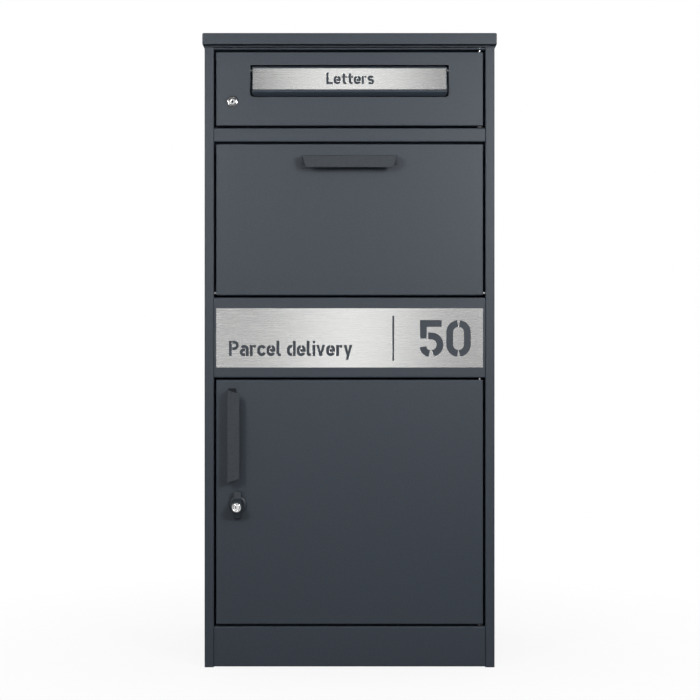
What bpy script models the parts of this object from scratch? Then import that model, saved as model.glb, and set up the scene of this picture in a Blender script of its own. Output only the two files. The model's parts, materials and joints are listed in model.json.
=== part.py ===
"""Free-standing letter and parcel box, folded from sheet steel. Blender 4.5, metres, +Z up.

The origin is on the floor, in the middle of the box that holds the whole object. X runs to
the viewer's right and the front faces -Y. Most depths are given behind the front plane, the
plane of the pillars and door faces, and at_depth() turns them into Y. In front of it they
are negative.
"""

import math

import bmesh
import bpy
from mathutils import Vector

# Overall size
BODY_WIDTH = 0.470
BODY_DEPTH = 0.380
SIDE_TOP = 1.0042
LID_BOTTOM = 1.0064
LID_TOP = 1.0243
LID_OVERHANG = 0.017
LID_SIDE_GAP = 0.0009
ROOF_BOTTOM = 1.0045
ROOF_TOP = 1.0175
FRONT_REACH = 0.030  # the key cylinder's face, the foremost point
SHEET = 0.0012
PLATE = 0.0015  # the thicker sheet of handles and base
CLEAR = 0.0003  # between pieces that touch
BEND = 0.002  # outer radius of a fold
LID_BACK = BODY_DEPTH + CLEAR + SHEET

# The front, from the floor up: heights of the fronts, with one reveal between any two
REVEAL = 0.0033
PLINTH_TOP = 0.0662
PARCEL_DOOR_HEIGHT = 0.3963
NAME_PANEL_HEIGHT = 0.130
PARCEL_FLAP_HEIGHT = 0.2455
DIVIDER_HEIGHT = 0.0225
LETTER_DOOR_HEIGHT = 0.120
PILLAR_WIDTH = 0.0152
JAMB_DEPTH = 0.020
REAR_FLANGE = 0.020
PAN_DEPTH = 0.016

PARCEL_DOOR_Z = (PLINTH_TOP + REVEAL, PLINTH_TOP + REVEAL + PARCEL_DOOR_HEIGHT)
NAME_PANEL_Z = (PARCEL_DOOR_Z[1] + REVEAL, PARCEL_DOOR_Z[1] + REVEAL + NAME_PANEL_HEIGHT)
PARCEL_FLAP_Z = (NAME_PANEL_Z[1] + REVEAL, NAME_PANEL_Z[1] + REVEAL + PARCEL_FLAP_HEIGHT)
DIVIDER_Z = (PARCEL_FLAP_Z[1] + REVEAL, PARCEL_FLAP_Z[1] + REVEAL + DIVIDER_HEIGHT)
LETTER_DOOR_Z = (DIVIDER_Z[1] + REVEAL, DIVIDER_Z[1] + REVEAL + LETTER_DOOR_HEIGHT)
TOP_RAIL_Z = LETTER_DOOR_Z[1] + REVEAL

HALF_BODY = BODY_WIDTH / 2
HALF_OPENING = HALF_BODY - PILLAR_WIDTH
HALF_RAIL = HALF_OPENING - CLEAR
HALF_DOOR = HALF_OPENING - REVEAL
HALF_SHELF = HALF_BODY - SHEET - 0.0013
FRONT = (FRONT_REACH - LID_BACK) / 2
BACK_SHEET = BODY_DEPTH - SHEET - CLEAR  # outer face of the back panel
SHELF_BACK = BACK_SHEET - SHEET - 0.001

# Hinges
HINGE_X = HALF_DOOR - 0.0054
HINGE_DEPTH = 0.006
PARCEL_FLAP_AXIS = (0.005, PARCEL_FLAP_Z[0] + 0.004)  # depth, height
LETTER_FLAP_AXIS = (0.0062, 0.9675)
PIN_RADIUS = 0.002
PIN_HOLE = 0.0024
PIN_HEAD = 0.003
PIN_HEAD_LENGTH = 0.0015

# Letter flap and its window
WINDOW_HALF = 0.1607
WINDOW_CORNER = 0.0055  # only the lower corners are rounded
WINDOW_Z = (0.9238, 0.9756)
LETTER_FLAP_HALF = 0.158
LETTER_FLAP_TOP = (0.0006, 0.9733)  # depth, height of the flap face's upper edge
LETTER_FLAP_NOSE = (-0.009, 0.9308)  # and of its lower edge
NOSE_BOTTOM = 0.9252

# Name plate
NAME_PLATE_SIZE = (0.432, 0.096)
NAME_PLATE_Z = 0.5336

# Locks
LETTER_LOCK = (-0.1896, 0.9158)  # X, height
DOOR_LOCK = (-0.1811, 0.2637)
KEY_DROP = 0.0022  # the key cylinder's axis below the knob's
CAM_DEPTH = JAMB_DEPTH + 0.0015  # front face of a cam, which turns behind the jamb

# Handles
DOOR_HANDLE_LENGTH = 0.149
FLAP_HANDLE_LENGTH = 0.154
HANDLE_REACH = 0.024
HANDLE_FACE = 0.0198
HANDLE_FOOT = 0.0131
HANDLE_TAPER = 0.0068
DOOR_HANDLE = (-0.1967, 0.3752)  # X of its bend, height of its middle
FLAP_HANDLE_TOP = 0.8271
HANDLE_SCREW_SPACING = 0.100

# Hopper
CHEEK_X = 0.206  # inner face
CHEEK_RADIUS = 0.228
TRAY_SLOPE = math.radians(30)
TRAY_LENGTH = 0.200

PI = math.pi
TURN_TO_FRONT = (PI / 2, 0, 0)  # local Z points out of the front
TURN_TO_SIDE = (0, PI / 2, 0)  # local Z points to +X
TURN_TO_SECTION = (PI / 2, 0, PI / 2)  # local X is world Y, local Y is world Z


def at_depth(depth):
    return FRONT + depth


# Scene, materials and bodies


def clear_scene():
    for obj in list(bpy.data.objects):
        bpy.data.objects.remove(obj)


def new_collection(name):
    made = bpy.data.collections.new(name)
    bpy.context.scene.collection.children.link(made)
    return made


def new_material(name, colour, roughness, metallic):
    material = bpy.data.materials.new(name)
    material.use_nodes = True
    shader = material.node_tree.nodes["Principled BSDF"]
    shader.inputs["Base Color"].default_value = (*colour, 1)
    shader.inputs["Roughness"].default_value = roughness
    shader.inputs["Metallic"].default_value = metallic
    return material


def new_body(name, location):
    """An empty on a joint's axis, which the moving pieces hang from."""
    empty = bpy.data.objects.new(name, None)
    empty.location = location
    PARTS.objects.link(empty)
    bpy.context.view_layer.update()
    return empty


clear_scene()
PARTS = new_collection("letter_and_parcel_box")
CUTTERS = new_collection("cutters")

COAT = new_material("powder_coat", (0.040, 0.048, 0.055), 0.5, 0.0)
STAINLESS = new_material("brushed_stainless", (0.62, 0.62, 0.61), 0.3, 1.0)
CHROME = new_material("chrome", (0.75, 0.75, 0.75), 0.12, 1.0)
ZINC = new_material("zinc_plated_steel", (0.55, 0.56, 0.57), 0.35, 1.0)
BLACK = new_material("black_zinc_casting", (0.022, 0.024, 0.027), 0.4, 0.2)
RUBBER = new_material("rubber", (0.012, 0.012, 0.012), 0.8, 0.0)
NYLON = new_material("nylon", (0.10, 0.10, 0.10), 0.5, 0.0)

LETTER_DOOR = new_body("letter_door_body", (HINGE_X, at_depth(HINGE_DEPTH), LETTER_DOOR_Z[0]))
LETTER_FLAP = new_body("letter_flap_body", (0, at_depth(LETTER_FLAP_AXIS[0]), LETTER_FLAP_AXIS[1]))
LETTER_CORE = new_body("letter_lock_axis", (LETTER_LOCK[0], FRONT, LETTER_LOCK[1]))
PARCEL_FLAP = new_body("parcel_flap_body", (0, at_depth(PARCEL_FLAP_AXIS[0]), PARCEL_FLAP_AXIS[1]))
PARCEL_DOOR = new_body("parcel_door_body", (HINGE_X, at_depth(HINGE_DEPTH), PARCEL_DOOR_Z[0]))
WING = new_body("wing_handle_axis", (DOOR_LOCK[0], FRONT, DOOR_LOCK[1]))
KEY_CYLINDER = new_body("key_cylinder_axis", (DOOR_LOCK[0], FRONT, DOOR_LOCK[1] - KEY_DROP))


# Tools


def add_object(name, data, material, body=None, location=(0, 0, 0), rotation=(0, 0, 0)):
    obj = bpy.data.objects.new(name, data)
    obj.location = location
    obj.rotation_euler = rotation
    PARTS.objects.link(obj)
    data.materials.append(material)
    if body:
        obj.parent = body
        obj.matrix_parent_inverse = body.matrix_world.inverted()
    return obj


def mesh_from(bm, name):
    mesh = bpy.data.meshes.new(name)
    bm.normal_update()
    bm.to_mesh(mesh)
    bm.free()
    return mesh


def as_cutter(obj):
    PARTS.objects.unlink(obj)
    CUTTERS.objects.link(obj)
    obj.hide_render = True
    obj.display_type = "WIRE"
    return obj


def boolean(obj, other, operation):
    modifier = obj.modifiers.new(operation.title(), "BOOLEAN")
    modifier.operation = operation
    modifier.object = other


def bevel(obj, width, segments=2):
    modifier = obj.modifiers.new("Bevel", "BEVEL")
    modifier.width = width
    modifier.segments = segments
    modifier.limit_method = "ANGLE"
    modifier.angle_limit = math.radians(25)


def solidify(obj, thickness):
    modifier = obj.modifiers.new("Solidify", "SOLIDIFY")
    modifier.thickness = thickness
    modifier.offset = -1
    modifier.use_even_offset = True


def box_bmesh(low, high):
    bm = bmesh.new()
    bmesh.ops.create_cube(bm, size=1)
    low, high = Vector(low), Vector(high)
    bmesh.ops.scale(bm, vec=high - low, verts=bm.verts)
    bmesh.ops.translate(bm, vec=(low + high) / 2, verts=bm.verts)
    bm.normal_update()
    return bm


def prism_bmesh(corners, reach):
    """A closed solid: a flat face with these corners, drawn out by the vector reach."""
    bm = bmesh.new()
    face = bm.faces.new([bm.verts.new(corner) for corner in corners])
    grown = bmesh.ops.extrude_face_region(bm, geom=[face], use_keep_orig=True)["geom"]
    moved = [item for item in grown if isinstance(item, bmesh.types.BMVert)]
    bmesh.ops.translate(bm, vec=reach, verts=moved)
    bmesh.ops.recalc_face_normals(bm, faces=bm.faces)
    bm.normal_update()
    return bm


def block(name, low, high, material, body=None, edge=0):
    """A solid box between two corners."""
    obj = add_object(name, mesh_from(box_bmesh(low, high), name), material, body)
    if edge:
        bevel(obj, edge)
    return obj


def pan(name, low, high, open_side, material, body=None, thickness=SHEET):
    """A box of folded sheet, with one side left out. Its outside measures low to high."""
    bm = box_bmesh(low, high)
    away = [face for face in bm.faces if face.normal.dot(Vector(open_side)) > 0.9]
    bmesh.ops.delete(bm, geom=away, context="FACES")
    obj = add_object(name, mesh_from(bm, name), material, body)
    bevel(obj, BEND)
    solidify(obj, thickness)
    return obj


def folded_sheet(name, profile, reach, material, body=None, thickness=SHEET, taper=0):
    """Sheet folded along a profile of 3D points and drawn out by the vector reach.

    The profile is the outer face, and the sheet lies on its right-hand side as seen against
    reach. taper shortens the last edge of the profile at both ends.
    """
    bm = bmesh.new()
    start = [bm.verts.new(point) for point in profile]
    edges = [bm.edges.new(pair) for pair in zip(start, start[1:])]
    grown = bmesh.ops.extrude_edge_only(bm, edges=edges)["geom"]
    moved = [item for item in grown if isinstance(item, bmesh.types.BMVert)]
    bmesh.ops.translate(bm, vec=reach, verts=moved)
    bm.normal_update()
    outward = Vector(reach).cross(Vector(profile[1]) - Vector(profile[0]))
    first = next(face for face in bm.faces if start[0] in face.verts)
    if first.normal.dot(outward) < 0:
        bmesh.ops.reverse_faces(bm, faces=bm.faces)
    if taper:
        along = Vector(reach).normalized() * taper
        free_edge = Vector(profile[-1])
        start[-1].co += along
        for vert in moved:
            if (vert.co - free_edge - Vector(reach)).length < SHEET:
                vert.co -= along
    obj = add_object(name, mesh_from(bm, name), material, body)
    bevel(obj, BEND)
    solidify(obj, thickness)
    return obj


def turned(name, profile, location, rotation, material, body=None, steps=24):
    """A turned piece. Its profile of (radius, height) runs down the outer side, and closes
    on the axis or, for a ring, back up its bore."""
    bm = bmesh.new()
    verts = [bm.verts.new((radius, 0, height)) for radius, height in profile]
    pairs = list(zip(verts, verts[1:]))
    if profile[0][0] > 0:
        pairs.append((verts[-1], verts[0]))
    for pair in pairs:
        bm.edges.new(pair)
    obj = add_object(name, mesh_from(bm, name), material, body, location, rotation)
    screw = obj.modifiers.new("Screw", "SCREW")
    screw.steps = screw.render_steps = steps
    screw.use_merge_vertices = True
    screw.merge_threshold = 0.00001
    return obj


def rod(name, radius, length, location, rotation, material, body=None, sides=24):
    """A cylinder or, with six sides, a hexagon, centred on its location."""
    bm = bmesh.new()
    bmesh.ops.create_cone(
        bm, cap_ends=True, segments=sides, radius1=radius, radius2=radius, depth=length
    )
    return add_object(name, mesh_from(bm, name), material, body, location, rotation)


def drill(obj, radius, location, rotation, length=0.03, sides=16):
    """Cuts a round hole, centred on its location."""
    tool = rod(obj.name + "_hole", radius, length, location, rotation, COAT, sides=sides)
    boolean(obj, as_cutter(tool), "DIFFERENCE")


def flat_plate(name, outlines, thickness, location, rotation, material, body=None):
    """A plate cut to closed outlines, the first its edge and the others its holes. Its
    thickness runs to both sides of its location."""
    curve = bpy.data.curves.new(name, "CURVE")
    curve.dimensions = "2D"
    curve.fill_mode = "BOTH"
    curve.extrude = thickness / 2
    for outline in outlines:
        spline = curve.splines.new("POLY")
        spline.points.add(len(outline) - 1)
        spline.use_cyclic_u = True
        for point, (x, y) in zip(spline.points, outline):
            point.co = (x, y, 0, 1)
    return add_object(name, curve, material, body, location, rotation)


def arc(centre, radius, start, end, steps):
    """Points on an arc, its ends included, from angle start to angle end in degrees."""
    angles = [math.radians(start + (end - start) * i / steps) for i in range(steps + 1)]
    return [(centre[0] + radius * math.cos(a), centre[1] + radius * math.sin(a)) for a in angles]


def circle(centre, radius, steps=16):
    return arc(centre, radius, 0, 360, steps)[:-1]


# The cabinet


def side_panels():
    """Each side: the front pillar with its jamb, the side wall, and a flange at the rear."""
    for name, side in (("left", -1), ("right", 1)):
        pillar_profile = [
            (side * HALF_OPENING, at_depth(JAMB_DEPTH), 0),
            (side * HALF_OPENING, at_depth(0), 0),
            (side * HALF_BODY, at_depth(0), 0),
        ]
        if side > 0:
            pillar_profile.reverse()
        pillar = folded_sheet("pillar_" + name, pillar_profile, (0, 0, SIDE_TOP), COAT)
        hole = (side * HALF_OPENING, at_depth(PARCEL_FLAP_AXIS[0]), PARCEL_FLAP_AXIS[1])
        drill(pillar, PIN_HOLE, hole, TURN_TO_SIDE, length=0.01)

        outer, inner = side * HALF_BODY, side * (HALF_BODY - SHEET)
        fold = SHEET + CLEAR
        low = (min(outer, inner), at_depth(fold), 0)
        high = (max(outer, inner), at_depth(BODY_DEPTH - fold), SIDE_TOP)
        block("side_panel_" + name, low, high, COAT)

        inner = side * (HALF_BODY - REAR_FLANGE)
        low = (min(outer, inner), at_depth(BODY_DEPTH - SHEET), 0)
        high = (max(outer, inner), at_depth(BODY_DEPTH), SIDE_TOP)
        block("rear_flange_" + name, low, high, COAT)


def back_panel():
    """A flat sheet inside the rear flanges, with four holes for fixing to a wall."""
    low = (-HALF_SHELF, at_depth(BACK_SHEET - SHEET), 0.002)
    high = (HALF_SHELF, at_depth(BACK_SHEET), ROOF_BOTTOM - CLEAR)
    panel = block("back_panel", low, high, COAT)
    for x in (-0.16, 0.16):
        for z in (0.16, 0.92):
            drill(panel, 0.004, (x, at_depth(BACK_SHEET), z), TURN_TO_FRONT, length=0.01)


def base_pan():
    """The floor, a tray folded up at its edges, with four holes for ground anchors."""
    low = (-HALF_SHELF, at_depth(JAMB_DEPTH + 0.001), 0)
    high = (HALF_SHELF, at_depth(SHELF_BACK), 0.020)
    tray = pan("base_pan", low, high, (0, 0, 1), COAT, thickness=PLATE)
    for x in (-0.17, 0.17):
        for depth in (0.07, 0.33):
            drill(tray, 0.0055, (x, at_depth(depth), 0), (0, 0, 0), length=0.01)


def roof_and_lid():
    """The roof pan closes the body, and the lid is a larger cap bolted over it."""
    low = (-HALF_BODY, at_depth(0), ROOF_BOTTOM)
    high = (HALF_BODY, at_depth(BODY_DEPTH), ROOF_TOP)
    roof = pan("roof_pan", low, high, (0, 0, -1), COAT)

    half_lid = HALF_BODY + LID_SIDE_GAP + SHEET
    low = (-half_lid, at_depth(-LID_OVERHANG), LID_BOTTOM)
    high = (half_lid, at_depth(LID_BACK), LID_TOP)
    lid = pan("lid", low, high, (0, 0, -1), COAT)
    rim = 0.0002  # keeps the return clear of the rim's own plane
    half_wall = SHEET / 2
    low = (half_wall - half_lid, at_depth(half_wall - LID_OVERHANG), LID_BOTTOM + rim)
    high = (half_lid - half_wall, at_depth(-0.006), LID_BOTTOM + rim + SHEET)
    boolean(lid, as_cutter(block("lid_return", low, high, COAT)), "UNION")

    bolt = [(0, 0.0053), (0.0022, 0.0053), (0.0022, -0.0015), (0.0045, -0.0015)]
    bolt += [(0.0045, -0.0035), (0.0035, -0.0050), (0, -0.0050)]
    places = (("front_left", -0.19, 0.05), ("front_right", 0.19, 0.05))
    places += (("rear_left", -0.19, 0.33), ("rear_right", 0.19, 0.33))
    for place, x, depth in places:
        hole = (x, at_depth(depth), ROOF_TOP)
        turned("lid_bolt_" + place, bolt, hole, (0, 0, 0), ZINC, steps=16)
        drill(roof, 0.0026, hole, (0, 0, 0), length=0.01)


def cross_rail(name, section):
    """A rail between the jambs, folded along a section of (depth, height) points."""
    profile = [(-HALF_RAIL, at_depth(depth), height) for depth, height in section]
    return folded_sheet(name, profile, (2 * HALF_RAIL, 0, 0), COAT)


def rails():
    """Top rail, divider rail, name panel and plinth. Their webs hold the doors' pins."""
    lip, web = 0.012, 0.026
    top_rail = [(web, TOP_RAIL_Z - lip), (web, TOP_RAIL_Z), (0, TOP_RAIL_Z)]
    rail = cross_rail("top_rail", top_rail + [(0, TOP_RAIL_Z + 0.0029)])
    drill(rail, PIN_HOLE, (HINGE_X, at_depth(HINGE_DEPTH), TOP_RAIL_Z), (0, 0, 0), 0.01)

    low, high = DIVIDER_Z
    section = [(web, high - lip), (web, high), (0, high), (0, low)]
    section += [(0.022, low), (0.022, low - lip)]
    rail = cross_rail("divider_rail", section[::-1])
    drill(rail, PIN_HOLE, (HINGE_X, at_depth(HINGE_DEPTH), high), (0, 0, 0), 0.01)

    low, high = NAME_PANEL_Z
    section = [(PAN_DEPTH, high), (0, high), (0, low), (web, low), (web, low + lip)]
    panel = cross_rail("name_panel", section[::-1])
    drill(panel, PIN_HOLE, (HINGE_X, at_depth(HINGE_DEPTH), low), (0, 0, 0), 0.01)

    section = [(web, PLINTH_TOP - lip), (web, PLINTH_TOP), (0, PLINTH_TOP)]
    section += [(0, 0.0011), (JAMB_DEPTH, 0.0011)]
    panel = cross_rail("plinth_panel", section[::-1])
    drill(panel, PIN_HOLE, (HINGE_X, at_depth(HINGE_DEPTH), PLINTH_TOP), (0, 0, 0), 0.01)


def letter_floor():
    low = (-HALF_SHELF, at_depth(0.0275), DIVIDER_Z[1] - 0.0155)
    high = (HALF_SHELF, at_depth(SHELF_BACK), DIVIDER_Z[1] - 0.0005)
    pan("letter_floor", low, high, (0, 0, -1), COAT)


def name_plate():
    width, height = NAME_PLATE_SIZE
    low = (-width / 2, at_depth(-CLEAR - 0.001), NAME_PLATE_Z - height / 2)
    high = (width / 2, at_depth(-CLEAR), NAME_PLATE_Z + height / 2)
    block("name_plate", low, high, STAINLESS)


def pin(name, location, rotation, length, body=None):
    """A headed hinge pin. Its head is at the local top, and its location is its middle."""
    half = length / 2
    profile = [(0, half), (PIN_HEAD, half), (PIN_HEAD, half - PIN_HEAD_LENGTH)]
    profile += [(PIN_RADIUS, half - PIN_HEAD_LENGTH), (PIN_RADIUS, 0.0005 - half)]
    profile += [(PIN_RADIUS - 0.0005, -half), (0, -half)]
    return turned(name, profile, location, rotation, ZINC, body, steps=16)


def hinge_pins():
    """Door pins stand in the rails, and the parcel flap's pins in the jambs."""
    length, y = 0.0165, at_depth(HINGE_DEPTH)
    past = 0.0012 + SHEET  # from the rail's web to the pin's middle, with the head beyond
    downward = (PI, 0, 0)
    pin("letter_door_pin_upper", (HINGE_X, y, TOP_RAIL_Z - past), (0, 0, 0), length)
    pin("letter_door_pin_lower", (HINGE_X, y, DIVIDER_Z[1] + past), downward, length)
    pin("parcel_door_pin_upper", (HINGE_X, y, NAME_PANEL_Z[0] - past), (0, 0, 0), length)
    pin("parcel_door_pin_lower", (HINGE_X, y, PLINTH_TOP + past), downward, length)
    for name, side in (("parcel_flap_pin_left", -1), ("parcel_flap_pin_right", 1)):
        middle = (side * (HALF_OPENING - 0.0018), at_depth(PARCEL_FLAP_AXIS[0]), PARCEL_FLAP_AXIS[1])
        pin(name, middle, (0, side * PI / 2, 0), 0.0175)

    ring = [(0.0045, 0.0012), (0.0045, -0.0012), (PIN_HOLE, -0.0012), (PIN_HOLE, 0.0012)]
    washers = (("letter_door_washer", DIVIDER_Z[1]), ("parcel_door_washer", PLINTH_TOP))
    for name, web in washers:
        turned(name, ring, (HINGE_X, y, web + REVEAL / 2), (0, 0, 0), NYLON, steps=16)


def flap_buffers():
    """Rubber stops on the divider rail, which the closed parcel flap rests against."""
    puck = [(0, 0.0026), (0.0035, 0.0026), (0.004, 0.0020), (0.004, -0.0026), (0, -0.0026)]
    for name, x in (("flap_buffer_left", -0.15), ("flap_buffer_right", 0.15)):
        centre = (x, at_depth(0.0190), DIVIDER_Z[0] - 0.0065)
        turned(name, puck, centre, TURN_TO_FRONT, RUBBER, steps=16)


# The letter door, its flap and its lock


def letter_door():
    low = (-HALF_DOOR, at_depth(0), LETTER_DOOR_Z[0])
    high = (HALF_DOOR, at_depth(PAN_DEPTH), LETTER_DOOR_Z[1])
    door = pan("letter_door", low, high, (0, 1, 0), COAT, LETTER_DOOR)
    lower, upper = WINDOW_Z
    reach = WINDOW_HALF - WINDOW_CORNER
    outline = [(WINDOW_HALF, upper), (-WINDOW_HALF, upper)]
    outline += arc((-reach, lower + WINDOW_CORNER), WINDOW_CORNER, 180, 270, 6)
    outline += arc((reach, lower + WINDOW_CORNER), WINDOW_CORNER, 270, 360, 6)
    corners = [(x, at_depth(-0.01), z) for x, z in outline]
    cutter = mesh_from(prism_bmesh(corners, (0, 0.02, 0)), "letter_window")
    window = add_object("letter_window", cutter, COAT)
    boolean(door, as_cutter(window), "DIFFERENCE")
    x, z = LETTER_LOCK
    drill(door, 0.0082, (x, at_depth(0), z), TURN_TO_FRONT, length=0.01, sides=24)
    for height in LETTER_DOOR_Z:
        drill(door, PIN_HOLE, (HINGE_X, at_depth(HINGE_DEPTH), height), (0, 0, 0), 0.01)

    depth, height = LETTER_FLAP_AXIS
    for name, side in (("left", -1), ("right", 1)):
        wall = side * (WINDOW_HALF + 0.0012)
        profile = [
            (side * (WINDOW_HALF + 0.014), at_depth(SHEET + CLEAR), 0.946),
            (wall, at_depth(SHEET + CLEAR), 0.946),
            (wall, at_depth(PAN_DEPTH), 0.946),
        ]
        if side < 0:
            profile.reverse()
        bracket = folded_sheet(
            "flap_bracket_" + name, profile, (0, 0, 0.028), ZINC, LETTER_DOOR
        )
        hole = (wall, at_depth(depth), height)
        drill(bracket, PIN_HOLE, hole, TURN_TO_SIDE, length=0.01)
        middle = (side * (LETTER_FLAP_HALF + 0.0035), at_depth(depth), height)
        pin("letter_flap_pin_" + name, middle, (0, side * PI / 2, 0), 0.013, LETTER_DOOR)


def letter_flap():
    """A wedge of folded sheet: face, slanting finger nose and two cheeks, open behind."""
    section = [LETTER_FLAP_TOP, LETTER_FLAP_NOSE]
    section += [(-0.0005, NOSE_BOTTOM), (0.002, NOSE_BOTTOM)]
    section += [(0.0115, 0.9733)]
    corners = [(-LETTER_FLAP_HALF, at_depth(d), z) for d, z in section]
    bm = prism_bmesh(corners, (2 * LETTER_FLAP_HALF, 0, 0))
    behind = [face for face in bm.faces if face.normal.y > 0.9]
    bmesh.ops.delete(bm, geom=behind, context="FACES")
    flap = add_object("letter_flap", mesh_from(bm, "letter_flap"), COAT, LETTER_FLAP)
    bevel(flap, 0.001)
    solidify(flap, 0.001)
    depth, height = LETTER_FLAP_AXIS
    drill(flap, PIN_HOLE, (0, at_depth(depth), height), TURN_TO_SIDE, length=0.4)
    for name, side in (("left", -1), ("right", 1)):
        cut_nose_corner(flap, name, side)

    lean = math.atan2(LETTER_FLAP_TOP[0] - LETTER_FLAP_NOSE[0], LETTER_FLAP_TOP[1] - LETTER_FLAP_NOSE[1])
    width, height, thick = 0.3128, 0.0363, 0.0008
    off_face = CLEAR + thick / 2
    middle = [(a + b) / 2 for a, b in zip(LETTER_FLAP_TOP, LETTER_FLAP_NOSE)]
    plate = block(
        "letter_flap_plate",
        (-width / 2, -thick / 2, -height / 2),
        (width / 2, thick / 2, height / 2),
        STAINLESS,
    )
    plate.location = (
        0,
        at_depth(middle[0] - off_face * math.cos(lean)),
        middle[1] + off_face * math.sin(lean),
    )
    plate.rotation_euler = (-lean, 0, 0)
    plate.parent = LETTER_FLAP
    plate.matrix_parent_inverse = LETTER_FLAP.matrix_world.inverted()


def cut_nose_corner(flap, name, side):
    """Rounds the lower corner of the nose, as seen from the front."""
    low, radius = NOSE_BOTTOM, 0.0052
    outline = arc((LETTER_FLAP_HALF - radius, low + radius), radius, 0, -90, 6)
    outline += [(LETTER_FLAP_HALF - radius, low - 0.002), (LETTER_FLAP_HALF + 0.002, low - 0.002)]
    outline.append((LETTER_FLAP_HALF + 0.002, low + radius))
    corners = [(side * x, at_depth(-0.012), z) for x, z in outline]
    bm = prism_bmesh(corners, (0, 0.030, 0))
    tool = add_object("nose_corner_" + name, mesh_from(bm, name), COAT)
    boolean(flap, as_cutter(tool), "DIFFERENCE")


def cam(name, lock, reach, half_width, hole, thickness, body):
    """A lock's cam, a tongue that points up when the lock is released."""
    outline = arc((0, 0), half_width, 180, 360, 10)
    outline += arc((0, reach - half_width), half_width, 0, 180, 10)
    centre = (lock[0], at_depth(CAM_DEPTH + thickness / 2), lock[1])
    outlines = [outline, circle((0, 0), hole)]
    flat_plate(name, outlines, thickness, centre, TURN_TO_FRONT, ZINC, body)


def nut(name, lock, half_flats, hole, depth, thickness, body):
    corner = half_flats / math.cos(PI / 6)
    outline = circle((0, 0), corner, 6)
    centre = (lock[0], at_depth(depth + thickness / 2), lock[1])
    outlines = [outline, circle((0, 0), hole, 24)]
    flat_plate(name, outlines, thickness, centre, TURN_TO_FRONT, ZINC, body)


def letter_lock():
    """A cam lock. Its heights are in front of the door, so what is behind is negative."""
    x, z = LETTER_LOCK
    face = (x, FRONT, z)
    body = [(0.0078, 0.003), (0.0098, 0.0022), (0.01025, 0.0008), (0.01025, CLEAR)]
    body += [(0.0079, CLEAR), (0.0079, -0.018), (0.0056, -0.018), (0.0056, 0.003)]
    turned("letter_lock_barrel", body, face, TURN_TO_FRONT, CHROME, LETTER_DOOR)
    nut("letter_lock_nut", LETTER_LOCK, 0.010, 0.0083, SHEET + CLEAR, 0.004, LETTER_DOOR)

    end = CLEAR - CAM_DEPTH
    plug = [(0, 0.0034), (0.0045, 0.0034), (0.0052, 0.0028), (0.0052, end)]
    plug += [(0.0023, end), (0.0023, end + 0.007), (0, end + 0.007)]
    core = turned("letter_lock_plug", plug, face, TURN_TO_FRONT, CHROME, LETTER_CORE)
    key_slot(core, x, z, -0.0034, 0.0011, 0.0062)
    cam("letter_lock_cam", LETTER_LOCK, 0.040, 0.008, 0.0024, 0.002, LETTER_CORE)
    head = -CAM_DEPTH - 0.002 - CLEAR
    screw = [(0, head + 0.008), (0.0019, head + 0.008), (0.0019, head), (0.004, head)]
    screw += [(0.004, head - 0.0015), (0.003, head - 0.0025), (0, head - 0.0025)]
    turned("letter_lock_screw", screw, face, TURN_TO_FRONT, ZINC, LETTER_CORE, steps=16)


def key_slot(obj, x, z, depth, width, height):
    """Cuts an upright keyway into a plug whose face is at depth."""
    tool = block(
        obj.name + "_keyway",
        (x - width / 2, at_depth(depth - 0.002), z - height / 2),
        (x + width / 2, at_depth(depth + 0.004), z + height / 2),
        COAT,
    )
    boolean(obj, as_cutter(tool), "DIFFERENCE")


# The parcel flap and its hopper


def parcel_flap():
    low = (-HALF_DOOR, at_depth(0), PARCEL_FLAP_Z[0])
    high = (HALF_DOOR, at_depth(PAN_DEPTH), PARCEL_FLAP_Z[1])
    flap = pan("parcel_flap", low, high, (0, 1, 0), COAT, PARCEL_FLAP)
    depth, height = PARCEL_FLAP_AXIS
    for side in (-1, 1):
        hole = (side * HALF_DOOR, at_depth(depth), height)
        drill(flap, PIN_HOLE, hole, TURN_TO_SIDE, length=0.01)

    bend = FLAP_HANDLE_TOP
    section = [(bend - HANDLE_FOOT, -CLEAR), (bend, -CLEAR), (bend, -HANDLE_REACH)]
    section += [(bend - HANDLE_FACE, -HANDLE_REACH)]
    profile = [(FLAP_HANDLE_LENGTH / 2, at_depth(d), z) for z, d in section]
    handle("flap_handle", profile, (-FLAP_HANDLE_LENGTH, 0, 0), flap, PARCEL_FLAP)


def hopper():
    """The parcel tray and the two cheeks that close the flap's sides when it is open."""
    axis_depth, axis_height = PARCEL_FLAP_AXIS
    centre = (at_depth(axis_depth), axis_height)
    inner_face = SHEET + 0.0008
    slope = math.degrees(TRAY_SLOPE)
    ear_radius, ear_start, ear_end = CHEEK_RADIUS + 0.012, 35, 31
    outline = [(at_depth(inner_face), axis_height - 0.0015)]
    outline += arc(centre, CHEEK_RADIUS, 90.6, ear_start, 14)
    outline += arc(centre, ear_radius, ear_start, ear_end, 2)
    outline += arc(centre, CHEEK_RADIUS, ear_end, 1 - slope, 14)
    outline += [(at_depth(PAN_DEPTH + 0.0025), axis_height - 0.0015)]
    for name, side in (("hopper_cheek_left", -1), ("hopper_cheek_right", 1)):
        middle = (side * (CHEEK_X + SHEET / 2), 0, 0)
        flat_plate(name, [outline], SHEET, middle, TURN_TO_SECTION, COAT, PARCEL_FLAP)

    half = CHEEK_X - CLEAR
    level = axis_height + 0.0002
    knee, down = 0.019, 0.012
    end = (knee + TRAY_LENGTH * math.cos(TRAY_SLOPE), level - TRAY_LENGTH * math.sin(TRAY_SLOPE))
    hem = (end[0] - down * math.sin(TRAY_SLOPE), end[1] - down * math.cos(TRAY_SLOPE))
    section = [(inner_face, level + 0.014), (inner_face, level), (knee, level), end, hem]
    profile = [(-half, at_depth(d), z) for d, z in section]
    folded_sheet("hopper_tray", profile[::-1], (2 * half, 0, 0), COAT, PARCEL_FLAP)


# The parcel door and its lock


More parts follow.
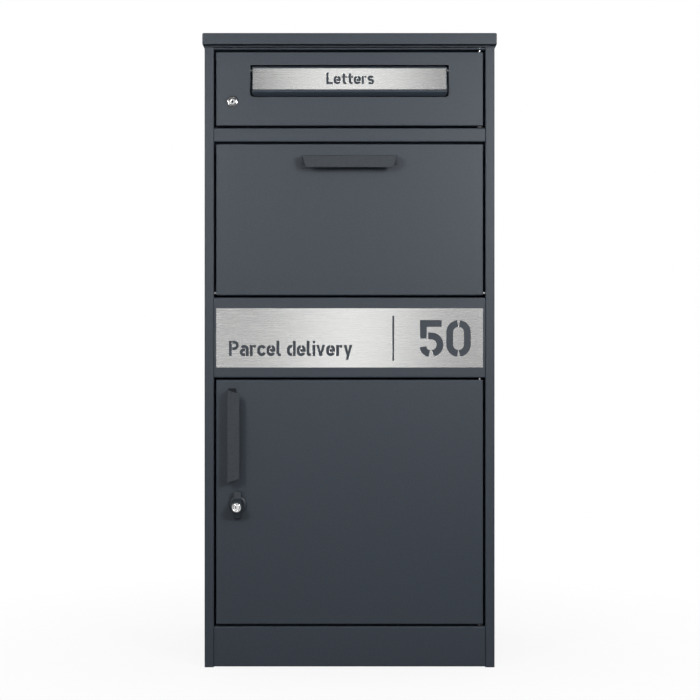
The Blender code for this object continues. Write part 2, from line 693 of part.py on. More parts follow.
def handle(name, profile, reach, panel, body):
    """A pull folded to a C: foot on the door, web, and a face with slanting ends."""
    pull = folded_sheet(name, profile, reach, COAT, body, PLATE, taper=HANDLE_TAPER)
    foot = (Vector(profile[0]) + Vector(profile[1])) / 2 + Vector(reach) / 2
    along = Vector(reach).normalized() * HANDLE_SCREW_SPACING / 2
    inside = SHEET + CLEAR
    screw = [(0, 0.0035), (0.0019, 0.0035), (0.0019, -inside), (0.0036, -inside)]
    screw += [(0.0036, -inside - 0.0012), (0.0026, -inside - 0.0022), (0, -inside - 0.0022)]
    for number, place in enumerate((foot - along, foot + along), start=1):
        middle = (place.x, FRONT, place.z)
        drill(panel, 0.0023, middle, TURN_TO_FRONT, length=0.005)
        drill(pull, 0.0023, middle, TURN_TO_FRONT, length=0.009)
        turned(f"{name}_screw_{number}", screw, middle, TURN_TO_FRONT, ZINC, body, steps=16)


def parcel_door():
    low = (-HALF_DOOR, at_depth(0), PARCEL_DOOR_Z[0])
    high = (HALF_DOOR, at_depth(PAN_DEPTH), PARCEL_DOOR_Z[1])
    door = pan("parcel_door", low, high, (0, 1, 0), COAT, PARCEL_DOOR)
    for height in PARCEL_DOOR_Z:
        drill(door, PIN_HOLE, (HINGE_X, at_depth(HINGE_DEPTH), height), (0, 0, 0), 0.01)
    drill(door, 0.0103, (DOOR_LOCK[0], FRONT, DOOR_LOCK[1]), TURN_TO_FRONT, 0.01, sides=24)

    bend, middle = DOOR_HANDLE
    section = [(bend + HANDLE_FOOT, -CLEAR), (bend, -CLEAR), (bend, -HANDLE_REACH)]
    section += [(bend + HANDLE_FACE, -HANDLE_REACH)]
    profile = [(x, at_depth(d), middle + DOOR_HANDLE_LENGTH / 2) for x, d in section]
    handle("door_handle", profile, (0, 0, -DOOR_HANDLE_LENGTH), door, PARCEL_DOOR)

    brim, crown, rise, skin = 0.032, 0.018, 0.011, SHEET + CLEAR
    margin = 0.022
    section = [(-brim, skin), (-crown, skin), (-crown + 0.004, skin + rise)]
    section += [(crown - 0.004, skin + rise), (crown, skin), (brim, skin)]
    profile = [(x, at_depth(d), PARCEL_DOOR_Z[0] + margin) for x, d in section]
    reach = (0, 0, PARCEL_DOOR_HEIGHT - 2 * margin)
    stiffener = folded_sheet("door_stiffener", profile, reach, COAT, PARCEL_DOOR, thickness=0.001)
    stiffener.modifiers["Solidify"].offset = 1


def door_lock():
    """A wing knob that holds the key cylinder and turns the cam."""
    x, z = DOOR_LOCK
    face = (x, FRONT, z)
    rose = [(0.0105, 0.0042), (0.0135, 0.0038), (0.0150, 0.0024), (0.0150, CLEAR)]
    rose += [(0.0100, CLEAR), (0.0100, -0.016), (0.0083, -0.016), (0.0083, 0.0042)]
    turned("door_lock_housing", rose, face, TURN_TO_FRONT, BLACK, PARCEL_DOOR)
    nut("door_lock_nut", DOOR_LOCK, 0.0135, 0.0104, SHEET + CLEAR, 0.004, PARCEL_DOOR)

    key_z = z - KEY_DROP
    shaft_end = CLEAR - CAM_DEPTH
    shaft = [(0, 0.0070), (0.0080, 0.0070), (0.0080, shaft_end), (0.0034, shaft_end)]
    shaft += [(0.0034, shaft_end + 0.012), (0, shaft_end + 0.012)]
    knob = turned("wing_handle", shaft, face, TURN_TO_FRONT, BLACK, WING)
    hub = [(0, 0.0260), (0.0086, 0.0260), (0.0092, 0.0254), (0.0092, 0.0046), (0, 0.0046)]
    boss = turned("wing_hub", hub, (x, FRONT, key_z), TURN_TO_FRONT, BLACK)
    boolean(knob, as_cutter(boss), "UNION")
    upper = [(0.0036, 0.0050), (0.0225, 0.0050), (0.0220, 0.0120), (0.0104, 0.0120)]
    upper += [(0.0070, 0.0205), (0.0036, 0.0205)]
    lower = [(-0.0070, 0.0050), (-0.0225, 0.0050), (-0.0215, 0.0105), (-0.0070, 0.0125)]
    for name, section in (("wing_upper", upper), ("wing_lower", lower)):
        outline = [(at_depth(-front), z + up) for up, front in section]
        boolean(knob, wing_solid(name, outline, x, 0.0066), "UNION")
    drill(knob, 0.0081, (x, at_depth(-0.0225), key_z), TURN_TO_FRONT, 0.013, sides=24)
    drill(knob, 0.0063, (x, at_depth(-0.0130), key_z), TURN_TO_FRONT, 0.014, sides=24)

    cylinder = [(0, 0.0300), (0.0070, 0.0300), (0.0078, 0.0292), (0.0078, 0.0163)]
    cylinder += [(0.0060, 0.0163), (0.0060, 0.0063), (0, 0.0063)]
    centre = (x, FRONT, key_z)
    plug = turned("key_cylinder", cylinder, centre, TURN_TO_FRONT, CHROME, KEY_CYLINDER)
    key_slot(plug, x, key_z, -0.0300, 0.0013, 0.0070)

    cam("door_lock_cam", DOOR_LOCK, 0.047, 0.011, 0.0033, 0.0025, WING)
    head = -CAM_DEPTH - 0.0025 - CLEAR
    bolt = [(0, head + 0.012), (0.0030, head + 0.012), (0.0030, head), (0.0055, head)]
    bolt += [(0.0055, head - 0.0035), (0.0048, head - 0.0040), (0, head - 0.0040)]
    turned("cam_bolt", bolt, face, TURN_TO_FRONT, ZINC, WING, steps=16)


def wing_solid(name, outline, x, half_width):
    """One wing of the knob, as a closed mesh that can be joined to its hub."""
    bm = prism_bmesh([(x - half_width, y, z) for y, z in outline], (2 * half_width, 0, 0))
    wing = add_object(name, mesh_from(bm, name), BLACK)
    bevel(wing, 0.0015)
    return as_cutter(wing)


side_panels()
back_panel()
base_pan()
roof_and_lid()
rails()
letter_floor()
name_plate()
hinge_pins()
flap_buffers()
letter_door()
letter_flap()
letter_lock()
parcel_flap()
hopper()
parcel_door()
door_lock()
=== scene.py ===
"""Looks of a free-standing letter and parcel box, folded from powder-coated sheet steel.

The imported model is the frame: places and sizes come from its nodes. Most sheet parts are its
own shapes with fine edges, and the folded sides, plates, locks and fasteners are made again
in more detail.
Metres, +Z up. The front faces -Y, and X runs to the viewer's right.
"""

import json
import math

import bmesh
import bpy
from mathutils import Matrix, Vector

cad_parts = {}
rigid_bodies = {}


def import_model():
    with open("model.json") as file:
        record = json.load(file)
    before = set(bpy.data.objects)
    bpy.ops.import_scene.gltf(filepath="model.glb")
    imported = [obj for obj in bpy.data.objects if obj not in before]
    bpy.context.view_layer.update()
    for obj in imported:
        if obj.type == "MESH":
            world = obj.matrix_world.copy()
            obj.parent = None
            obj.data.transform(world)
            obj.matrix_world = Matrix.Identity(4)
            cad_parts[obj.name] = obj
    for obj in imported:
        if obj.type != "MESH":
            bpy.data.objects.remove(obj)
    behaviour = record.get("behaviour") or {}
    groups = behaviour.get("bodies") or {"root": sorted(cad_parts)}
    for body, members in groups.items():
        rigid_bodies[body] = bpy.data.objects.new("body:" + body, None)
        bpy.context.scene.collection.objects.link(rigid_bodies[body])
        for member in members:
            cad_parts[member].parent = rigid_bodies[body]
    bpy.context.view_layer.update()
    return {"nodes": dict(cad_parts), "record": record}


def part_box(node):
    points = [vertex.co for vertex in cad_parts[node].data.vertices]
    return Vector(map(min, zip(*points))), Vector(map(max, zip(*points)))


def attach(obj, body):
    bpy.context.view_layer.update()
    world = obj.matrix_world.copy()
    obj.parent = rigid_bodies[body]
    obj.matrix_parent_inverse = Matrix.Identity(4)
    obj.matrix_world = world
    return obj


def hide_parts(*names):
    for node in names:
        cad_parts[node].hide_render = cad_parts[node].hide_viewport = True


for leftover in list(bpy.data.objects):
    bpy.data.objects.remove(leftover)

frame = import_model()

SHEET = 0.0012
EDGE = 0.0003  # rounding of a cut sheet's edges
FOLD = 0.0020  # outer radius of a fold
CLEAR = 0.0003
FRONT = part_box("parcel_door")[0].y
SLOT_OF = {part["node"]: part["material_slot"] for part in frame["record"]["subparts"]}
BODY_OF = {
    node: body
    for body, nodes in frame["record"]["behaviour"]["bodies"].items()
    for node in nodes
}


# Camera, light and floor

CAMERA_DISTANCE = 2.5
CAMERA_HEIGHT = 0.514
CAMERA_X = 0.0007
LENS = 79.385


def add_camera():
    data = bpy.data.cameras.new("camera")
    data.lens = LENS
    data.sensor_width = 36
    camera = bpy.data.objects.new("camera", data)
    camera.location = (CAMERA_X, FRONT - CAMERA_DISTANCE, CAMERA_HEIGHT)
    camera.rotation_euler = (math.pi / 2, 0, 0)
    bpy.context.scene.collection.objects.link(camera)
    bpy.context.scene.camera = camera


def softbox(name, place, target, width, height, watts):
    data = bpy.data.lights.new(name, "AREA")
    data.shape = "RECTANGLE"
    data.size, data.size_y = width, height
    data.energy = watts
    light = bpy.data.objects.new(name, data)
    light.location = place
    aim = Vector(target) - Vector(place)
    light.rotation_euler = aim.to_track_quat("-Z", "Y").to_euler()
    bpy.context.scene.collection.objects.link(light)


def add_lights():
    """Keys on both sides, lights behind the camera and overhead, cards on the left, and fills."""
    softbox("right_key", (0.70, FRONT - 1.30, 1.02), (0, FRONT, 0.75), 0.3, 0.4, 12.4)
    softbox("left_key", (-0.70, FRONT - 1.30, 1.02), (0, FRONT, 0.75), 0.3, 0.4, 7.6)
    softbox("front_light", (0.05, FRONT - 4.2, 0.75), (0, FRONT, 0.6), 0.50, 1.6, 5.0)
    softbox("front_fill", (0.1, FRONT - 3.4, 0.9), (0, FRONT, 0.6), 3.2, 2.0, 2.4)
    softbox("overhead_light", (0, FRONT - 1.9, 2.25), (0, FRONT, 0.85), 0.45, 0.5, 1.9)
    softbox("low_card", (-0.45, FRONT - 2.3, 0.22), (-0.18, FRONT, 0.26), 1.0, 0.44, 1.2)
    softbox("high_card", (-0.40, FRONT - 2.3, 1.30), (-0.19, FRONT, 0.92), 0.7, 0.4, 0.45)
    for side in (-1, 1):
        softbox("side_fill", (side * 2.1, FRONT - 1.9, 1.15), (0, FRONT, 0.6), 0.7, 1.7, 4)
        softbox("flank_fill", (side * 2.2, 0.5, 1.1), (0, 0, 0.6), 1.2, 1.4, 14)
        softbox("rear_fill", (side * 1.2, 2.3, 1.2), (0, 0, 0.6), 1.0, 1.4, 14)


def add_world():
    world = bpy.data.worlds.new("studio")
    world.use_nodes = True
    background = world.node_tree.nodes["Background"]
    background.inputs["Color"].default_value = (0.93, 0.96, 1.0, 1)
    background.inputs["Strength"].default_value = 0.10
    bpy.context.scene.world = world
    bpy.context.scene.view_settings.view_transform = "Standard"


def fading_floor_material():
    """Pale, and clearer the farther it is from the object."""
    material = bpy.data.materials.new("pale_floor")
    material.use_nodes = True
    nodes, links = material.node_tree.nodes, material.node_tree.links
    shader = nodes["Principled BSDF"]
    shader.inputs["Base Color"].default_value = (0.93, 0.93, 0.93, 1)
    shader.inputs["Roughness"].default_value = 0.9
    place = nodes.new("ShaderNodeTexCoord")
    distance = nodes.new("ShaderNodeVectorMath")
    distance.operation = "LENGTH"
    fade = nodes.new("ShaderNodeMapRange")
    fade.inputs["From Min"].default_value = 0.25
    fade.inputs["From Max"].default_value = 0.9
    fade.inputs["To Min"].default_value = 0.88
    clear = nodes.new("ShaderNodeBsdfTransparent")
    mix = nodes.new("ShaderNodeMixShader")
    links.new(place.outputs["Object"], distance.inputs[0])
    links.new(distance.outputs["Value"], fade.inputs["Value"])
    links.new(fade.outputs["Result"], mix.inputs["Fac"])
    links.new(shader.outputs["BSDF"], mix.inputs[1])
    links.new(clear.outputs["BSDF"], mix.inputs[2])
    links.new(mix.outputs["Shader"], nodes["Material Output"].inputs["Surface"])
    return material


def white_backdrop_material():
    material = bpy.data.materials.new("white_backdrop")
    material.use_nodes = True
    nodes, links = material.node_tree.nodes, material.node_tree.links
    glow = nodes.new("ShaderNodeEmission")
    glow.inputs["Color"].default_value = (1, 1, 1, 1)
    links.new(glow.outputs["Emission"], nodes["Material Output"].inputs["Surface"])
    return material


def add_stage():
    """A pale floor that fades into a white backdrop, which only the camera sees."""
    bpy.ops.mesh.primitive_circle_add(vertices=96, radius=3.0, fill_type="NGON")
    floor = bpy.context.object
    floor.name = "floor"
    floor.location.z = -0.0002
    floor.data.materials.append(fading_floor_material())

    bpy.ops.mesh.primitive_uv_sphere_add(segments=48, ring_count=24, radius=14)
    backdrop = bpy.context.object
    backdrop.name = "backdrop"
    backdrop.data.materials.append(white_backdrop_material())
    backdrop.visible_diffuse = backdrop.visible_glossy = False
    backdrop.visible_transmission = backdrop.visible_shadow = False


# Materials


class Finish:
    """A Principled material and the few node patterns that its textures are made of."""

    def __init__(self, name, colour, roughness, metallic=0.0):
        self.material = bpy.data.materials.new(name)
        self.material.use_nodes = True
        self.nodes = self.material.node_tree.nodes
        self.links = self.material.node_tree.links
        self.shader = self.nodes["Principled BSDF"]
        self.shader.inputs["Base Color"].default_value = (*colour, 1)
        self.shader.inputs["Roughness"].default_value = roughness
        self.shader.inputs["Metallic"].default_value = metallic
        self.place = self.nodes.new("ShaderNodeTexCoord").outputs["Object"]

    def noise(self, size, stretch=(1, 1, 1), detail=2.0, roughness=0.5, distortion=0.0):
        """Noise whose grains are about size metres, drawn out by stretch along each axis."""
        mapping = self.nodes.new("ShaderNodeMapping")
        mapping.inputs["Scale"].default_value = [1 / (size * drawn) for drawn in stretch]
        texture = self.nodes.new("ShaderNodeTexNoise")
        texture.inputs["Scale"].default_value = 1.0
        texture.inputs["Detail"].default_value = detail
        texture.inputs["Roughness"].default_value = roughness
        texture.inputs["Distortion"].default_value = distortion
        self.links.new(self.place, mapping.inputs["Vector"])
        self.links.new(mapping.outputs["Vector"], texture.inputs["Vector"])
        return texture.outputs["Fac"]

    def spread(self, value, low, high, start=0.3, end=0.7):
        """value between start and end becomes a number between low and high."""
        node = self.nodes.new("ShaderNodeMapRange")
        limits = {"From Min": start, "From Max": end, "To Min": low, "To Max": high}
        for socket, number in limits.items():
            node.inputs[socket].default_value = number
        self.links.new(value, node.inputs["Value"])
        return node.outputs["Result"]

    def blend(self, value, first, second):
        """A colour between first and second, each a colour or another node's output."""
        node = self.nodes.new("ShaderNodeMix")
        node.data_type = "RGBA"
        self.links.new(value, node.inputs["Factor"])
        for socket, colour in zip((node.inputs[6], node.inputs[7]), (first, second)):
            if isinstance(colour, bpy.types.NodeSocket):
                self.links.new(colour, socket)
            else:
                socket.default_value = (*colour, 1)
        return node.outputs[2]

    def bump(self, height, depth, strength=1.0, under=None):
        node = self.nodes.new("ShaderNodeBump")
        node.inputs["Distance"].default_value = depth
        node.inputs["Strength"].default_value = strength
        self.links.new(height, node.inputs["Height"])
        if under:
            self.links.new(under, node.inputs["Normal"])
        return node.outputs["Normal"]

    def drive(self, socket, value):
        self.links.new(value, self.shader.inputs[socket])


def scaled(colour, factor):
    return tuple(channel * factor for channel in colour)


def powder_coat(name, colour, roughness=0.48, specular=0.42):
    """Fine-textured coat: speckled and mottled colour, sandy grain and a faint orange peel."""
    finish = Finish(name, colour, roughness)
    finish.shader.inputs["Specular IOR Level"].default_value = specular
    sand = finish.noise(0.0009, detail=3.0, roughness=0.6)
    peel = finish.noise(0.0045, detail=2.0)
    mottle = finish.noise(0.0032, detail=2.0, roughness=0.7)
    cloud = finish.noise(0.16, detail=2.0)
    speckle = finish.blend(finish.spread(sand, 0, 1), scaled(colour, 0.72), scaled(colour, 1.22))
    mottled = finish.blend(finish.spread(mottle, 0, 0.5), speckle, scaled(colour, 1.45))
    clouded = finish.blend(finish.spread(cloud, 0, 0.14), mottled, scaled(colour, 1.2))
    finish.drive("Base Color", clouded)
    finish.drive("Roughness", finish.spread(sand, roughness - 0.05, roughness + 0.09))
    finish.drive("Normal", finish.bump(sand, 0.00008, 0.6, finish.bump(peel, 0.00009, 0.35)))
    return finish.material


def brushed_stainless(name):
    """Steel brushed along X: hair lines in its colour, roughness and height."""
    colour = (0.66, 0.66, 0.65)
    finish = Finish(name, colour, 0.3, metallic=1.0)
    finish.shader.inputs["Anisotropic"].default_value = 0.7
    across = finish.nodes.new("ShaderNodeVectorTransform")
    across.vector_type = "VECTOR"
    across.convert_from, across.convert_to = "OBJECT", "WORLD"
    across.inputs["Vector"].default_value = (0, 1, 0)
    finish.drive("Tangent", across.outputs["Vector"])
    hair = finish.noise(0.0010, stretch=(70, 1, 1), detail=2.0)
    lines = finish.blend(finish.spread(hair, 0, 1), scaled(colour, 0.965), scaled(colour, 1.03))
    finish.drive("Base Color", lines)
    finish.drive("Roughness", finish.spread(hair, 0.268, 0.276))
    finish.drive("Normal", finish.bump(hair, 0.000003, 0.1))
    return finish.material


def chrome(name):
    """Polished plate with faint haze where fingers and keys have been."""
    finish = Finish(name, (0.80, 0.80, 0.80), 0.1, metallic=1.0)
    haze = finish.noise(0.004, detail=4.0, roughness=0.6)
    finish.drive("Roughness", finish.spread(haze, 0.06, 0.16))
    tint = finish.blend(finish.spread(haze, 0, 1), (0.76, 0.76, 0.77), (0.86, 0.86, 0.86))
    finish.drive("Base Color", tint)
    return finish.material


def zinc_plate(name):
    """Bright zinc, slightly blue, with cloudy passivation and drawing lines."""
    finish = Finish(name, (0.58, 0.60, 0.62), 0.33, metallic=1.0)
    cloud = finish.noise(0.003, detail=4.0, distortion=0.6)
    grain = finish.noise(0.0004, detail=2.0)
    tint = finish.blend(finish.spread(cloud, 0, 1), (0.50, 0.53, 0.56), (0.68, 0.68, 0.66))
    finish.drive("Base Color", tint)
    finish.drive("Roughness", finish.spread(grain, 0.26, 0.42))
    finish.drive("Normal", finish.bump(grain, 0.00002, 0.3))
    return finish.material


def black_casting(name):
    """A die casting under a satin black coat."""
    colour = (0.029, 0.037, 0.047)
    finish = Finish(name, colour, 0.42)
    grain = finish.noise(0.0006, detail=3.0)
    swell = finish.noise(0.006, detail=1.0)
    tint = finish.blend(finish.spread(grain, 0, 1), scaled(colour, 0.8), scaled(colour, 1.3))
    finish.drive("Base Color", tint)
    finish.drive("Roughness", finish.spread(grain, 0.36, 0.50))
    finish.drive("Normal", finish.bump(grain, 0.00003, 0.4, finish.bump(swell, 0.00012, 0.3)))
    return finish.material


def rubber(name):
    colour = (0.010, 0.012, 0.015)
    finish = Finish(name, colour, 0.75)
    finish.shader.inputs["Specular IOR Level"].default_value = 0.2
    grain = finish.noise(0.0005, detail=3.0)
    bloom = finish.noise(0.004, detail=3.0)
    tint = finish.blend(finish.spread(bloom, 0, 1), colour, scaled(colour, 1.6))
    finish.drive("Base Color", tint)
    finish.drive("Roughness", finish.spread(bloom, 0.66, 0.85))
    finish.drive("Normal", finish.bump(grain, 0.00003, 0.5))
    return finish.material


def nylon(name):
    colour = (0.030, 0.030, 0.031)
    finish = Finish(name, colour, 0.5)
    cloud = finish.noise(0.002, detail=2.0)
    tint = finish.blend(finish.spread(cloud, 0, 1), scaled(colour, 0.8), scaled(colour, 1.3))
    finish.drive("Base Color", tint)
    finish.drive("Roughness", finish.spread(cloud, 0.42, 0.58))
    return finish.material


COAT_COLOUR = (0.033, 0.043, 0.057)
FINISHES = {
    "powder_coat": powder_coat("anthracite_coat", COAT_COLOUR),
    "brushed_stainless": brushed_stainless("brushed_steel"),
    "chrome": chrome("polished_chrome"),
    "zinc_plated_steel": zinc_plate("zinc_plate"),
    "black_casting": black_casting("satin_black"),
    "rubber": rubber("black_rubber"),
    "nylon": nylon("black_nylon"),
}
HANDLE_COAT = powder_coat("matt_handle_coat", (0.049, 0.056, 0.064), 0.7, 0.2)


# Pieces


def add_piece(name, data, body, slot, stands_for=(), matrix=None):
    """Puts a piece on its body, with its slot's finish."""
    piece = bpy.data.objects.new(name, data)
    bpy.context.scene.collection.objects.link(piece)
    if matrix:
        piece.matrix_world = matrix
    data.materials.clear()
    data.materials.append(FINISHES[slot])
    bpy.context.view_layer.update()
    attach(piece, body)
    if stands_for:
        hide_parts(*stands_for)
    return piece


def mesh_from(bm, name, sharp=None):
    bm.normal_update()
    mesh = bpy.data.meshes.new(name)
    bm.to_mesh(mesh)
    bm.free()
    stored = mesh.attributes.get("custom_normal")
    if stored:
        mesh.attributes.remove(stored)
    mesh.polygons.foreach_set("use_smooth", [True] * len(mesh.polygons))
    if sharp:
        mesh.set_sharp_from_angle(angle=math.radians(sharp))
    return mesh


def round_edges(piece, width=EDGE, angle=50, segments=2):
    """Rounds the edges sharper than angle and keeps the flats flat."""
    rounding = piece.modifiers.new("Edges", "BEVEL")
    rounding.width = width
    rounding.segments = segments
    rounding.limit_method = "ANGLE"
    rounding.angle_limit = math.radians(angle)
    rounding.use_clamp_overlap = True
    shading = piece.modifiers.new("Shading", "WEIGHTED_NORMAL")
    shading.keep_sharp = True


def join_flat_faces(bm):
    """Makes one face of neighbours that lie in one plane."""
    angle = math.radians(0.5)
    bmesh.ops.dissolve_limit(bm, angle_limit=angle, verts=bm.verts, edges=bm.edges)


def node_bmesh(node):
    """A node's own shape with its triangles joined into whole faces."""
    source = frame["nodes"][node]
    bm = bmesh.new()
    bm.from_mesh(source.data)
    bm.transform(source.matrix_world)
    for edge in bm.edges:
        edge.smooth = True
    bmesh.ops.remove_doubles(bm, verts=bm.verts, dist=0.000002)
    join_flat_faces(bm)
    return bm


def finish_node(node, width=EDGE, segments=2):
    """Shows a node's own shape with fine rounded edges."""
    piece = add_piece(
        "fine_" + node,
        mesh_from(node_bmesh(node), node),
        BODY_OF[node],
        SLOT_OF[node],
        stands_for=(node,),
    )
    round_edges(piece, width, segments=segments)
    return piece


def ring_points(radius, count):
    angles = [2 * math.pi * i / count for i in range(count)]
    return [(radius * math.cos(a), radius * math.sin(a)) for a in angles]


def lathe(profile, segments):
    """A bmesh turned about Z from a closed profile of (radius, height) points."""
    bm = bmesh.new()
    rings = []
    for radius, height in profile:
        if radius == 0:
            rings.append([bm.verts.new((0, 0, height))])
            continue
        corners = ring_points(radius, segments)
        rings.append([bm.verts.new((x, y, height)) for x, y in corners])
    closed = profile[0][0] > 0
    pairs = list(zip(rings, rings[1:] + rings[:1])) if closed else list(zip(rings, rings[1:]))
    for upper, lower in pairs:
        for i in range(segments):
            j = (i + 1) % segments
            corners = [upper[i % len(upper)], lower[i % len(lower)]]
            corners += [lower[j % len(lower)], upper[j % len(upper)]]
            distinct = list(dict.fromkeys(corners))
            if len(distinct) > 2:
                bm.faces.new(distinct)
    bmesh.ops.recalc_face_normals(bm, faces=bm.faces)
    return bm


def prism(outline, low, high):
    """A bmesh with an outline of (x, y) points, from height low to high."""
    bm = bmesh.new()
    bottom = bm.faces.new([bm.verts.new((x, y, low)) for x, y in outline])
    grown = bmesh.ops.extrude_face_region(bm, geom=[bottom], use_keep_orig=True)["geom"]
    lifted = [item for item in grown if isinstance(item, bmesh.types.BMVert)]
    bmesh.ops.translate(bm, vec=(0, 0, high - low), verts=lifted)
    bmesh.ops.recalc_face_normals(bm, faces=bm.faces)
    return bm


def carve(bm, *cutters):
    """Cuts closed bmeshes out of a bmesh and gives the result as a new one."""
    scene = bpy.context.scene.collection.objects
    target = bpy.data.objects.new("carved", mesh_from(bm, "carved"))
    scene.link(target)
    tools = []
    for cutter in cutters:
        tool = bpy.data.objects.new("cutter", mesh_from(cutter, "cutter"))
        scene.link(tool)
        cut = target.modifiers.new("Cut", "BOOLEAN")
        cut.operation = "DIFFERENCE"
        cut.solver = "EXACT"
        cut.object = tool
        tools.append(tool)
    bpy.context.view_layer.update()
    whole = target.evaluated_get(bpy.context.evaluated_depsgraph_get())
    result = bmesh.new()
    result.from_mesh(whole.data)
    join_flat_faces(result)
    for used in [target, *tools]:
        bpy.data.objects.remove(used)
    return result


def facing_front(x, depth, z):
    """Local Z points out of the front, local Y up."""
    return Matrix.Translation((x, FRONT + depth, z)) @ Matrix.Rotation(math.pi / 2, 4, "X")


def middle(node):
    low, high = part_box(node)
    return (low + high) / 2


# The sheet-metal parts


def side_sheets():
    """Jamb, pillar, side wall and rear flange, as the one folded sheet that they are."""
    for side, name in ((-1, "left"), (1, "right")):
        pillar_low, pillar_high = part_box("pillar_" + name)
        flange_low, flange_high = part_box("rear_flange_" + name)
        outer = side * max(abs(pillar_low.x), abs(pillar_high.x))
        inner = side * min(abs(pillar_low.x), abs(pillar_high.x))
        flange = side * min(abs(flange_low.x), abs(flange_high.x))
        outline = [
            (inner, pillar_high.y),
            (inner, pillar_low.y),
            (outer, pillar_low.y),
            (outer, flange_high.y),
            (flange, flange_high.y),
        ]
        bm = bmesh.new()
        foot = [bm.verts.new((x, y, pillar_low.z)) for x, y in outline]
        lines = [bm.edges.new(pair) for pair in zip(foot, foot[1:])]
        grown = bmesh.ops.extrude_edge_only(bm, edges=lines)["geom"]
        top = [item for item in grown if isinstance(item, bmesh.types.BMVert)]
        bmesh.ops.translate(bm, vec=(0, 0, pillar_high.z - pillar_low.z), verts=top)
        bm.normal_update()
        wall = max(bm.faces, key=lambda face: face.calc_area())
        if wall.normal.x * side < 0:
            bmesh.ops.reverse_faces(bm, faces=bm.faces)
        nodes = ["pillar_" + name, "side_panel_" + name, "rear_flange_" + name]
        mesh = mesh_from(bm, "side")
        piece = add_piece("fine_side_" + name, mesh, "cabinet", "powder_coat", nodes)
        fold = piece.modifiers.new("Folds", "BEVEL")
        fold.width = FOLD
        fold.segments = 6
        fold.limit_method = "ANGLE"
        fold.angle_limit = math.radians(50)
        skin = piece.modifiers.new("Sheet", "SOLIDIFY")
        skin.thickness = SHEET
        skin.offset = -1
        skin.use_even_offset = True
        round_edges(piece)


SHEET_NODES = [
    "back_panel", "base_pan", "plinth_panel", "roof_pan", "lid", "top_rail", "divider_rail",
    "letter_floor", "name_panel", "letter_door", "parcel_flap", "hopper_tray",
    "hopper_cheek_left", "hopper_cheek_right", "parcel_door", "door_stiffener",
    "flap_bracket_left", "flap_bracket_right", "letter_lock_cam", "door_lock_cam",
]


def sheet_parts():
    for node in SHEET_NODES:
        finish_node(node)
    for node in ("flap_handle", "door_handle"):
        handle = finish_node(node, width=0.0006, segments=3)
        handle.data.materials[0] = HANDLE_COAT
    finish_node("letter_flap", width=0.00025)
    finish_node("wing_handle", width=0.0004, segments=3)


# Stencil lettering

STROKE = 0.185  # of the capitals' height
X_HEIGHT = 0.73
HALF = STROKE / 2
BOWL = 0.195  # radius of a small letter's bowl, on the stroke's middle line
BOWL_LOW = HALF + BOWL
BOWL_HIGH = X_HEIGHT - HALF - BOWL


def bend(x, y, radius, start, end, steps=10):
    angles = [math.radians(start + (end - start) * i / steps) for i in range(steps + 1)]
    return [(x + radius * math.cos(a), y + radius * math.sin(a)) for a in angles]


def mirrored(path, axis):
    return [(2 * axis - x, y) for x, y in path]


BOWL_X = HALF + BOWL
STEM_X = BOWL_X + BOWL
BAR = X_HEIGHT / 2
LEFT_HALF = bend(BOWL_X, BOWL_HIGH, BOWL, 98, 180) + bend(BOWL_X, BOWL_LOW, BOWL, 180, 262)
OPEN_BOWL = bend(BOWL_X, BOWL_HIGH, BOWL, 74, 180) + bend(BOWL_X, BOWL_LOW, BOWL, 180, 286)
ZERO_HALF = bend(0.33, 0.67, 0.245, 96, 180) + bend(0.33, 0.33, 0.245, 180, 264)

# Each glyph's width, and the middle lines of its strokes
GLYPHS = {
    " ": (0.22, []),
    "P": (0.63, [
        [(HALF, 0), (HALF, 1)],
        [(0.215, 0.915), (0.33, 0.915)] + bend(0.33, 0.70, 0.215, 90, -90) + [(0.215, 0.485)],
    ]),
    "L": (0.52, [[(HALF, 1), (HALF, HALF), (0.52, HALF)]]),
    "a": (0.56, [
        bend(BOWL_X, BOWL_HIGH, BOWL, 150, 0) + [(STEM_X, 0)],
        [(0.345, 0.405), (0.245, 0.405)] + bend(0.245, 0.245, 0.16, 90, 270) + [(0.345, HALF)],
    ]),
    "c": (0.52, [bend(BOWL_X, BOWL_HIGH, BOWL, 22, 180) + bend(BOWL_X, BOWL_LOW, BOWL, 180, 338)]),
    "d": (0.56, [OPEN_BOWL, [(STEM_X, 0), (STEM_X, 1)]]),
    "e": (0.56, [
        LEFT_HALF[:-2] + bend(BOWL_X, BOWL_LOW, BOWL, 250, 338),
        bend(BOWL_X, BOWL_HIGH, BOWL, 82, 0) + [(STEM_X, BAR), (0.225, BAR)],
    ]),
    "i": (0.17, [[(HALF, 0), (HALF, X_HEIGHT)], [(HALF, 0.84), (HALF, 1)]]),
    "l": (0.29, [[(HALF, 1)] + bend(0.22, 0.22, 0.135, 180, 270) + [(0.29, HALF)]]),
    "r": (0.41, [
        [(HALF, 0), (HALF, X_HEIGHT)],
        bend(0.35, 0.485, 0.16, 138, 84) + [(0.41, 0.645)],
    ]),
    "s": (0.52, [
        bend(0.295, 0.505, 0.14, 30, 90, 5) + bend(0.225, 0.505, 0.14, 90, 270)
        + bend(0.295, 0.225, 0.14, 90, -90) + bend(0.225, 0.225, 0.14, 270, 210, 5),
    ]),
    "t": (0.42, [
        [(0.19, 0.94)] + bend(0.325, 0.22, 0.135, 180, 270) + [(0.40, HALF)],
        [(0.31, 0.645), (0.42, 0.645)],
        [(0, 0.645), (0.07, 0.645)],
    ]),
    "5": (0.64, [
        [(0.60, 0.9175), (HALF, 0.9175), (HALF, 0.50)],
        [(0.225, 0.5725), (0.31, 0.5725)] + bend(0.31, 0.3275, 0.245, 90, -78),
        bend(0.2825, 0.2825, 0.20, 262, 184),
    ]),
    "0": (0.66, [ZERO_HALF, mirrored(ZERO_HALF, 0.33)]),
}
